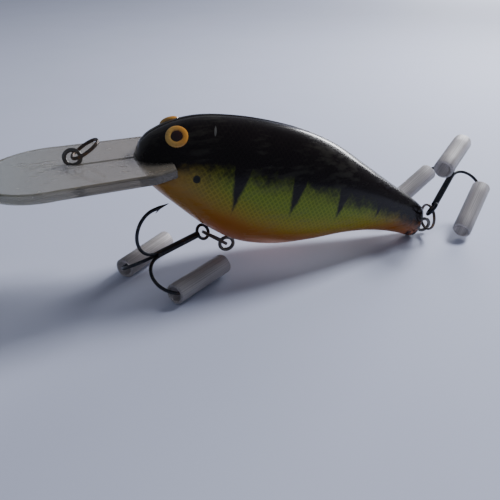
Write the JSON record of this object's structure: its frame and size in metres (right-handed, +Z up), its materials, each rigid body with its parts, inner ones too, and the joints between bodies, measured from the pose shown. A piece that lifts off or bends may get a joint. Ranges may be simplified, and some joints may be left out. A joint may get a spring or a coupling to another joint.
{
  "type": "crankbait lure",
  "caption": "Fat-bodied diving fishing lure with a long clear plastic lip, split rings and treble hooks covered by soft sleeves.",
  "frame": {"origin": "centre of the line-tie wire eye on the diving lip, with the lure in its resting stance, nose up on its tail and on the sleeved hooks", "axes": "+X from the lip toward the tail, +Y to the lure's right side and along the hole of the line-tie eye, +Z up"},
  "size_m": [0.1149, 0.0316, 0.033],
  "materials": {
    "painted_shell": "gloss clear coat over airbrushed paint: black back, green flanks, orange belly",
    "clear_lip": "clear moulded polycarbonate, slightly scuffed",
    "eye_wire": "bright stainless wire",
    "ring_wire": "darkened nickel",
    "hook_wire": "black nickel",
    "soft_sleeve": "smoky translucent soft vinyl",
    "iris_foil": "domed foil under clear resin",
    "pupil_lacquer": "gloss",
    "ballast_metal": "plain grey metal",
    "rattle_steel": "polished steel ball"
  },
  "bodies": {
    "lure": {"left_shell": "painted_shell", "right_shell": "painted_shell", "diving_lip": "clear_lip", "line_tie_wire": "eye_wire", "belly_hanger": "eye_wire", "tail_hanger": "eye_wire", "left_iris": "iris_foil", "left_pupil": "pupil_lacquer", "right_iris": "iris_foil", "right_pupil": "pupil_lacquer", "ballast_slug": "ballast_metal"},
    "tie_ring": {"line_tie_ring": "ring_wire"},
    "front_ring": {"belly_ring": "ring_wire"},
    "rear_ring": {"tail_ring": "ring_wire"},
    "front_treble": {"belly_treble": "hook_wire"},
    "rear_treble": {"tail_treble": "hook_wire"},
    "front_sleeve_near": {"belly_sleeve_near": "soft_sleeve"},
    "front_sleeve_far": {"belly_sleeve_far": "soft_sleeve"},
    "rear_sleeve_near": {"tail_sleeve_near": "soft_sleeve"},
    "rear_sleeve_top": {"tail_sleeve_top": "soft_sleeve"},
    "rear_sleeve_far": {"tail_sleeve_far": "soft_sleeve"},
    "ball_front": {"rattle_ball_front": "rattle_steel"},
    "ball_rear": {"rattle_ball_rear": "rattle_steel"}
  },
  "joints": [
    {"name": "line_tie_ring_swing", "type": "hinge", "parent": "lure", "child": "tie_ring", "pos_m": [0, 0, 0], "axis": [0, 1, 0], "range_deg": [-140, 15]},
    {"name": "belly_ring_swing", "type": "hinge", "parent": "lure", "child": "front_ring", "pos_m": [0.02944, 0, -0.02268], "axis": [0, 1, 0], "range_deg": [-100, 0]},
    {"name": "belly_hook_swing", "type": "hinge", "parent": "front_ring", "child": "front_treble", "pos_m": [0.02459, 0.00177, -0.02005], "axis": [0.1017, 0.9026, -0.4183], "range_deg": [-30, 0]},
    {"name": "tail_ring_swing", "type": "hinge", "parent": "lure", "child": "rear_ring", "pos_m": [0.07821, 0, -0.0245], "axis": [0, 1, 0], "range_deg": [-5, 110]},
    {"name": "tail_hook_swing", "type": "hinge", "parent": "rear_ring", "child": "rear_treble", "pos_m": [0.07821, -0.00254, -0.01929], "axis": [0, 0.8988, 0.4384], "range_deg": [-40, 5]},
    {"name": "belly_sleeve_near_slide", "type": "slide", "parent": "front_treble", "child": "front_sleeve_near", "axis": [0.8013, 0.598, 0.0175], "range_m": [0, 0.0045]},
    {"name": "belly_sleeve_far_slide", "type": "slide", "parent": "front_treble", "child": "front_sleeve_far", "axis": [0.7036, 0.7106, -0.0037], "range_m": [0, 0.007]},
    {"name": "tail_sleeve_near_slide", "type": "slide", "parent": "rear_treble", "child": "rear_sleeve_near", "axis": [-0.6755, -0.5871, -0.4461], "range_m": [0, 0.007]},
    {"name": "tail_sleeve_top_slide", "type": "slide", "parent": "rear_treble", "child": "rear_sleeve_top", "axis": [-0.7318, -0.6669, -0.1405], "range_m": [0, 0.007]},
    {"name": "tail_sleeve_far_slide", "type": "slide", "parent": "rear_treble", "child": "rear_sleeve_far", "axis": [-0.8566, -0.3737, -0.3557], "range_m": [0, 0.007]},
    {"name": "rattle_ball_front_roll", "type": "slide", "parent": "lure", "child": "ball_front", "axis": [0, 1, 0], "range_m": [-0.0046, 0.0046]},
    {"name": "rattle_ball_rear_roll", "type": "slide", "parent": "lure", "child": "ball_rear", "axis": [0, 1, 0], "range_m": [-0.0038, 0.0038]}
  ]
}
